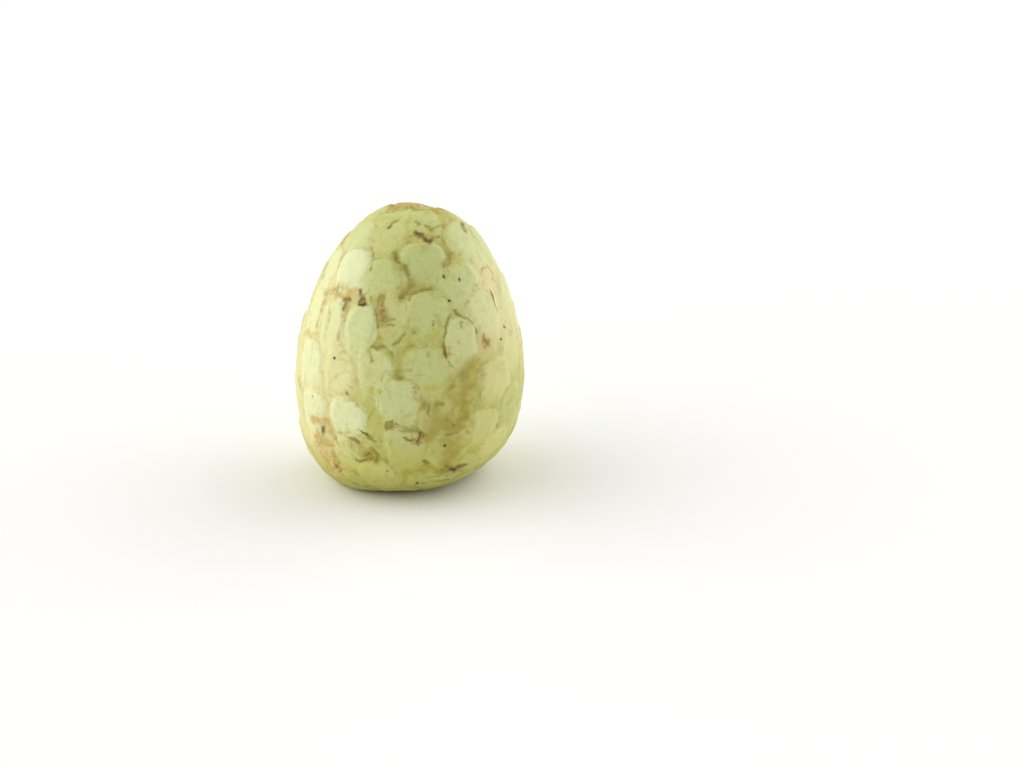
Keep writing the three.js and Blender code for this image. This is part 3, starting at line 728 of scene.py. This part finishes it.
STUB_SIDES = 72
STUB_RINGS = 26
STUB_END_RINGS = 0.55 # the share of the rings on its broken end; the rest are on its side
STUB_END_CROWDING = 0.8 # the less, the nearer the end's rings lie to its rim
STUB_RIM = 0.97 # the end's radius, as a share of the stub's
STUB_WAIST = 0.05 # how far the side pulls in, as a share of the radius
STUB_HOLLOW = 0.45 # how far the end's middle is set back
STUB_INSET = 0.35
STUB_LIP = 0.5 # the side starts this far above the end
STUB_BARK = 0.2 # room for the ridges
STUB_RIDGES = ((0.16, 9, 0.7), (0.1, 17, 2.1), (0.07, 29, 0.0)) # height, number, phase
STUB_FIBRES = ((0.22, 31, 5), (0.16, 13, -3)) # height, number, twist a millimetre


def make_stub(middle):
    """The woody stub: ridged sides and a broken, fibrous end."""
    top = PIT_DEPTH - SETTLED + STUB_SINKS - STUB_CLEARANCE
    foot = STUB_END_HEIGHT + STUB_LIP
    shift = LEAN * (PIT_DEPTH / HEIGHT - 0.5)
    points, faces = [], []
    for j in range(STUB_RINGS + 1):
        t = j / STUB_RINGS
        for i in range(STUB_SIDES):
            a = 2 * math.pi * i / STUB_SIDES
            ridge = sum(height * math.sin(number * a + phase) for height, number, phase in STUB_RIDGES)
            if t < STUB_END_RINGS:
                r = STUB_RADIUS * STUB_RIM * (t / STUB_END_RINGS) ** STUB_END_CROWDING
                fibre = sum(height * math.sin(number * a + twist * r)
                            for height, number, twist in STUB_FIBRES)
                hollow = STUB_HOLLOW * (1 - (r / STUB_RADIUS) ** 2)
                z = STUB_END_HEIGHT + STUB_INSET + hollow + fibre * min(1, r / 2)
            else:
                s = (t - STUB_END_RINGS) / (1 - STUB_END_RINGS)
                r = STUB_RADIUS * (STUB_RIM - STUB_WAIST * math.sin(math.pi * s))
                z = foot + (top - foot) * s
            r = max(0.0, r + ridge * min(1, r / STUB_RADIUS) - STUB_BARK)
            points.append((r * math.cos(a) + shift, r * math.sin(a), max(z, STUB_END_HEIGHT)))
    for j in range(STUB_RINGS):
        for i in range(STUB_SIDES):
            a, b = j * STUB_SIDES + i, j * STUB_SIDES + (i + 1) % STUB_SIDES
            faces.append((a, a + STUB_SIDES, b + STUB_SIDES, b))
    faces.append([STUB_RINGS * STUB_SIDES + i for i in range(STUB_SIDES)][::-1])
    faces.append(list(range(STUB_SIDES)))
    obj = new_mesh_object("stem_wood", np.array(points) - middle, faces)
    for polygon in obj.data.polygons:
        polygon.use_smooth = True
    return obj


# Materials
def srgb(r, g, b):
    """A colour as it looks on screen, 0 to 255, as the shader's linear colour."""
    def linear(v):
        v /= 255
        return v / 12.92 if v <= 0.04045 else ((v + 0.055) / 1.055) ** 2.4
    return (linear(r), linear(g), linear(b), 1.0)


class Shader:
    """Small helpers that add and join a material's nodes."""

    def __init__(self, name):
        self.material = bpy.data.materials.new(name)
        self.material.use_nodes = True
        self.tree = self.material.node_tree
        self.tree.nodes.clear()
        self.surface = self.add("ShaderNodeBsdfPrincipled")
        output = self.add("ShaderNodeOutputMaterial")
        self.join(self.surface.outputs[0], output.inputs["Surface"])
        self.position = self.add("ShaderNodeTexCoord").outputs["Object"]

    def add(self, kind, **settings):
        node = self.tree.nodes.new(kind)
        for key, value in settings.items():
            setattr(node, key, value)
        return node

    def join(self, a, b):
        self.tree.links.new(a, b)

    def put(self, socket, value):
        if isinstance(value, bpy.types.NodeSocket):
            self.join(value, socket)
        else:
            socket.default_value = value

    def attribute(self, name):
        return self.add("ShaderNodeAttribute", attribute_name=name).outputs["Fac"]

    def place(self, seed, stretch=(1, 1, 1)):
        """Where a texture is read: the object's own coordinates, moved by the seed."""
        node = self.add("ShaderNodeMapping")
        self.join(self.position, node.inputs["Vector"])
        node.inputs["Location"].default_value = (seed, 2 * seed, 3 * seed)
        node.inputs["Scale"].default_value = stretch
        return node.outputs[0]

    def noise(self, size_mm, detail=3.0, rough=0.55, stretch=(1, 1, 1), seed=0.0, swirl=0.0):
        """Noise with features of about this size."""
        node = self.add("ShaderNodeTexNoise")
        self.join(self.place(seed, stretch), node.inputs["Vector"])
        node.inputs["Scale"].default_value = 1 / (size_mm * MM)
        node.inputs["Detail"].default_value = detail
        node.inputs["Roughness"].default_value = rough
        node.inputs["Distortion"].default_value = swirl
        return node.outputs["Fac"]

    def cells(self, size_mm, seed=0.0):
        """Distance from scattered points of about this spacing."""
        node = self.add("ShaderNodeTexVoronoi", feature="F1")
        self.join(self.place(seed), node.inputs["Vector"])
        node.inputs["Scale"].default_value = 1 / (size_mm * MM)
        return node.outputs["Distance"]

    def math(self, operation, a, b=0.0):
        node = self.add("ShaderNodeMath", operation=operation)
        self.put(node.inputs[0], a)
        self.put(node.inputs[1], b)
        return node.outputs[0]

    def ramp(self, value, low, high, to_low=0.0, to_high=1.0):
        """value from low..high to to_low..to_high, with soft ends."""
        node = self.add("ShaderNodeMapRange", interpolation_type="SMOOTHSTEP")
        self.put(node.inputs["Value"], value)
        node.inputs["From Min"].default_value = low
        node.inputs["From Max"].default_value = high
        node.inputs["To Min"].default_value = to_low
        node.inputs["To Max"].default_value = to_high
        return node.outputs[0]

    def mix(self, factor, a, b, blend="MIX"):
        node = self.add("ShaderNodeMix", data_type="RGBA", blend_type=blend)
        self.put(node.inputs["Factor"], factor)
        self.put(node.inputs[6], a)
        self.put(node.inputs[7], b)
        return node.outputs[2]

    def bump(self, height, distance_mm, strength=1.0):
        node = self.add("ShaderNodeBump")
        node.inputs["Strength"].default_value = strength
        node.inputs["Distance"].default_value = distance_mm * MM
        self.join(height, node.inputs["Height"])
        return node.outputs[0]


# The skin's colours
GREEN_HEAD = srgb(200, 212, 146)
CREAM_HEAD = srgb(219, 214, 148)
PALE_HEAD = srgb(226, 229, 182)
DULL_HEAD = srgb(190, 190, 118)
BASE = srgb(194, 191, 103)
BASE_GREEN = srgb(191, 199, 118)
BASE_CREAM = srgb(217, 209, 148)
HEEL_TINT = (0.93, 0.92, 0.65, 1.0)
OLIVE = srgb(174, 163, 72)
TINGE_AND_SHADOW_OLIVE = srgb(160, 142, 38)
DARK_OLIVE = srgb(128, 118, 24)
TAN = srgb(184, 158, 80)
PALE_TAN = srgb(212, 187, 126)
BROWN = srgb(128, 104, 40)
DARK_BROWN = srgb(72, 52, 6)
SPOT_BLACK = srgb(46, 42, 24)
WHITISH = srgb(228, 232, 190)


def skin_material():
    s = Shader("custard_apple_skin")
    climb, low, heart, pale, crisp, rim = (
        s.attribute(name) for name in ("climb", "low", "heart", "pale", "crisp", "rim"))
    watery = s.noise(9.0, 2.0, 0.5, seed=2.7, swirl=1.6)
    patchy = s.noise(5.0, 3.0, 0.5, seed=0.7, swirl=0.9)
    streaky = s.noise(4.0, 2.0, 0.5, (1, 1, 0.4), seed=0.9)
    mottle = s.noise(1.6, 3.0, 0.6, seed=1.1, swirl=0.5)
    fine = s.noise(0.6, 2.0, 0.5, seed=1.9)

    def centred(value, gain):
        return s.math("MULTIPLY", s.math("SUBTRACT", value, 0.5), gain)

    def total(*values):
        result = values[0]
        for value in values[1:]:
            result = s.math("ADD", result, value)
        return result

    def times(a, b):
        return s.math("MULTIPLY", a, b)

    # the ground colour between the heads, and painted shade: olive and dark olive where the skin lies
    # low among its neighbours, above the tongues' tips
    colour = s.mix(s.ramp(total(watery, centred(patchy, 0.5)), 0.38, 0.62), BASE, BASE_GREEN)
    # the flanks facing the lamps turn creamier, with less painted shade and a lighter heel: partly cream
    # skin, partly painted light
    sides = s.ramp(total(s.attribute("sides"), centred(streaky, 0.6), centred(watery, 0.5)), 0.1, 0.9)
    colour = s.mix(sides, colour, BASE_CREAM)
    painted_low_shade = total(low, centred(patchy, 1.0), centred(watery, 1.3), times(sides, -0.25))
    colour = s.mix(s.ramp(painted_low_shade, 0.05, 0.55, 0.0, 0.75), colour, OLIVE)
    colour = s.mix(s.ramp(painted_low_shade, 0.35, 0.8, 0.0, 0.5), colour, DARK_OLIVE)

    # the tongues' paler, greener heads
    heel = s.attribute("heel")
    paleness = total(pale, times(heel, -0.7), centred(watery, 0.7))
    creaminess = total(s.attribute("cream"), centred(patchy, 0.8))
    head = s.mix(s.ramp(creaminess, 0.1, 0.9), GREEN_HEAD, CREAM_HEAD)
    head = s.mix(s.ramp(paleness, 0.0, 1.0, 0.0, 0.85), head, PALE_HEAD)
    head = s.mix(s.ramp(paleness, 0.0, -0.8, 0.0, 0.6), head, DULL_HEAD)
    vague = s.math("SUBTRACT", 1.0, crisp)
    stray = times(total(centred(patchy, 0.8), centred(mottle, 0.25)), total(vague, 0.12))
    inner = total(heart, stray, times(vague, -0.1), 0.07)
    edge = s.math("DIVIDE", inner, total(times(vague, 0.22), 0.12))
    rise = total(climb, centred(watery, 0.9), centred(streaky, 0.4))
    headness = times(times(s.ramp(edge, 0.0, 1.0), s.ramp(rise, 0.1, 0.5)), s.attribute("shown"))
    colour = s.mix(headness, colour, head)

    # the heel is yellower and darker
    foot = total(heel, centred(patchy, 0.6), times(sides, -0.3))
    colour = s.mix(s.ramp(foot, 0.1, 0.8), colour, HEEL_TINT, "MULTIPLY")
    colour = s.mix(s.ramp(foot, 0.7, 1.2, 0.0, 0.4), colour, DARK_OLIVE)

    # mottling, least on the crisp pale heads
    lively = s.math("SUBTRACT", 1.0, times(times(headness, crisp), 0.8))
    colour = s.mix(times(s.ramp(mottle, 0.54, 0.76, 0.0, 0.25), lively), colour, WHITISH)
    colour = s.mix(times(s.ramp(mottle, 0.48, 0.25, 0.0, 0.4), lively), colour, OLIVE)
    colour = s.mix(times(s.ramp(patchy, 0.45, 0.26, 0.0, 0.5), lively), colour, OLIVE)
    colour = s.mix(times(s.ramp(fine, 0.42, 0.25, 0.0, 0.3), lively), colour, OLIVE)

    # thin lines where the heads end
    line = s.ramp(total(rim, centred(patchy, 2.2), centred(mottle, 0.6)), 0.5, 1.0, 0.0, 0.6)
    colour = s.mix(line, colour, s.mix(sides, OLIVE, PALE_TAN))

    # olive tinges and smudges, the broad ones low on the right partly painted shadow, tan russet, brown
    # scars, dark specks
    tinge_and_shadow = total(s.attribute("tinge"), centred(watery, 1.6), centred(patchy, 1.0))
    colour = s.mix(s.ramp(tinge_and_shadow, 0.2, 1.25, 0.0, 0.75), colour, TINGE_AND_SHADOW_OLIVE)
    ragged = total(centred(mottle, 1.1), centred(fine, 0.6))
    olive = total(s.attribute("olive"), ragged)
    colour = s.mix(s.ramp(olive, 0.12, 1.0, 0.0, 0.78), colour, DARK_OLIVE)
    russet = total(s.attribute("tan"), times(ragged, 0.7), centred(patchy, 0.9))
    tan = s.ramp(russet, 0.1, 1.25, 0.0, 0.85)
    deepness = s.ramp(total(mottle, centred(patchy, 1.0)), 0.35, 0.6)
    colour = s.mix(tan, colour, s.mix(deepness, PALE_TAN, TAN))
    scar = total(s.attribute("brown"), ragged)
    colour = s.mix(s.ramp(scar, 0.12, 0.85, 0.0, 0.85), colour, BROWN)
    colour = s.mix(s.ramp(scar, 0.7, 1.3, 0.0, 0.8), colour, DARK_BROWN)
    dark = total(s.attribute("dark"), times(ragged, 0.6))
    colour = s.mix(s.ramp(dark, 0.25, 0.8, 0.0, 0.9), colour, DARK_BROWN)
    colour = s.mix(s.ramp(s.attribute("spot"), 0.25, 0.8, 0.0, 0.95), colour, SPOT_BLACK)

    # lenticels
    pores = s.cells(2.4, seed=0.4)
    colour = s.mix(times(s.ramp(pores, 0.12, 0.05, 0.0, 0.4), lively), colour, DARK_OLIVE)
    colour = s.mix(s.attribute("pit"), colour, BROWN)
    s.join(colour, s.surface.inputs["Base Color"])

    rough = total(s.ramp(mottle, 0.3, 0.7, 0.46, 0.58), times(tan, 0.15))
    s.join(rough, s.surface.inputs["Roughness"])
    s.surface.inputs["Specular IOR Level"].default_value = 0.35
    s.surface.inputs["Subsurface Weight"].default_value = 0.12
    s.surface.inputs["Subsurface Radius"].default_value = (1.0, 0.9, 0.4)
    s.surface.inputs["Subsurface Scale"].default_value = 2 * MM
    relief = total(patchy, times(mottle, 0.2), times(fine, 0.08))
    s.join(s.bump(relief, 0.3, 0.8), s.surface.inputs["Normal"])
    return s.material


WOOD_PALE = srgb(150, 118, 84)
WOOD_DARK = srgb(84, 58, 36)
WOOD_BLOTCH = srgb(120, 96, 60)
WOOD_SPECK = srgb(52, 36, 22)


def wood_material():
    s = Shader("stem_wood")
    grain = s.noise(0.9, 4.0, 0.6, (1, 1, 0.2), 0.5)
    blotch = s.noise(3.5, 3.0, 0.5, seed=1.3)
    speck = s.noise(0.35, 2.0, 0.5, seed=2.3)
    colour = s.mix(s.ramp(grain, 0.35, 0.65), WOOD_DARK, WOOD_PALE)
    colour = s.mix(s.ramp(blotch, 0.5, 0.7, 0.0, 0.5), colour, WOOD_BLOTCH)
    colour = s.mix(s.ramp(speck, 0.42, 0.3, 0.0, 0.6), colour, WOOD_SPECK)
    s.join(colour, s.surface.inputs["Base Color"])
    s.join(s.ramp(grain, 0.3, 0.7, 0.9, 0.7), s.surface.inputs["Roughness"])
    s.surface.inputs["Specular IOR Level"].default_value = 0.2
    s.join(s.bump(s.math("ADD", grain, s.math("MULTIPLY", speck, 0.4)), 0.5), s.surface.inputs["Normal"])
    return s.material


# The stage
FLOOR_SIDE = 6.0
# The soft light all round: where each broad lobe comes from, its strength and its tint.
LIGHT_LOBES = [
    ((-0.966, 0.0, 0.259), 2.68, (1.0, 0.99, 0.965)),
    ((0.89, 0.36, 0.28), 2.35, (1.0, 0.995, 0.98)),
]
LIGHT_BASE = 0.07
WALL = (1, 1, 1, 1)
FLOOR_WHITE = (0.95, 0.95, 0.95, 1)
CLIP = (0.05, 20) # the nearest and furthest that the camera sees, in metres


def make_floor():
    side = FLOOR_SIDE / 2
    corners = [(-side, -side, 0), (side, -side, 0), (side, side, 0), (-side, side, 0)]
    mesh = bpy.data.meshes.new("floor")
    mesh.from_pydata(corners, [], [(0, 1, 2, 3)])
    floor = bpy.data.objects.new("floor", mesh)
    bpy.context.scene.collection.objects.link(floor)
    s = Shader("floor_white")
    s.surface.inputs["Base Color"].default_value = FLOOR_WHITE
    s.surface.inputs["Roughness"].default_value = 0.9
    s.surface.inputs["Specular IOR Level"].default_value = 0.0
    floor.data.materials.append(s.material)


def make_world():
    """A light tent: two broad soft lobes of light, left and right, and none from the front."""
    world = bpy.data.worlds.new("studio")
    bpy.context.scene.world = world
    world.use_nodes = True
    tree = world.node_tree
    background = tree.nodes["Background"]
    way = tree.nodes.new("ShaderNodeTexCoord").outputs["Generated"]
    total = None
    for direction, strength, tint in LIGHT_LOBES:
        dot = tree.nodes.new("ShaderNodeVectorMath")
        dot.operation = "DOT_PRODUCT"
        tree.links.new(way, dot.inputs[0])
        dot.inputs[1].default_value = direction
        facing = tree.nodes.new("ShaderNodeMath")
        facing.operation = "MAXIMUM"
        tree.links.new(dot.outputs["Value"], facing.inputs[0])
        facing.inputs[1].default_value = 0.0
        square = tree.nodes.new("ShaderNodeMath")
        square.operation = "MULTIPLY"
        tree.links.new(facing.outputs[0], square.inputs[0])
        tree.links.new(facing.outputs[0], square.inputs[1])
        scaled = tree.nodes.new("ShaderNodeVectorMath")
        scaled.operation = "SCALE"
        scaled.inputs[0].default_value = [strength * t for t in tint]
        tree.links.new(square.outputs[0], scaled.inputs["Scale"])
        added = tree.nodes.new("ShaderNodeVectorMath")
        added.operation = "ADD"
        tree.links.new(scaled.outputs[0], added.inputs[0])
        if total is None:
            added.inputs[1].default_value = (LIGHT_BASE,) * 3
        else:
            tree.links.new(total, added.inputs[1])
        total = added.outputs[0]
    # the eye sees a plain pale wall, whichever way it looks
    seen = tree.nodes.new("ShaderNodeMixRGB")
    tree.links.new(tree.nodes.new("ShaderNodeLightPath").outputs["Is Camera Ray"], seen.inputs["Fac"])
    tree.links.new(total, seen.inputs["Color1"])
    seen.inputs["Color2"].default_value = WALL
    tree.links.new(seen.outputs["Color"], background.inputs["Color"])


def make_camera(middle):
    data = bpy.data.cameras.new("camera")
    data.lens = FOCAL_MM
    data.sensor_width = SENSOR_MM
    data.clip_start, data.clip_end = CLIP
    camera = bpy.data.objects.new("camera", data)
    bpy.context.scene.collection.objects.link(camera)
    camera.location = Vector((CAMERA - middle) * MM)
    camera.rotation_euler = Vector(FORWARD).to_track_quat("-Z", "Y").to_euler()
    bpy.context.scene.camera = camera


skin, middle = make_skin()
skin.data.materials.append(skin_material())
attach(skin, "root")
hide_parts("fruit")

stub = make_stub(middle)
stub.data.materials.append(wood_material())
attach(stub, "root")
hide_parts("stem_stub")

make_camera(middle)
make_floor()
make_world()
bpy.context.scene.view_settings.view_transform = "Standard"
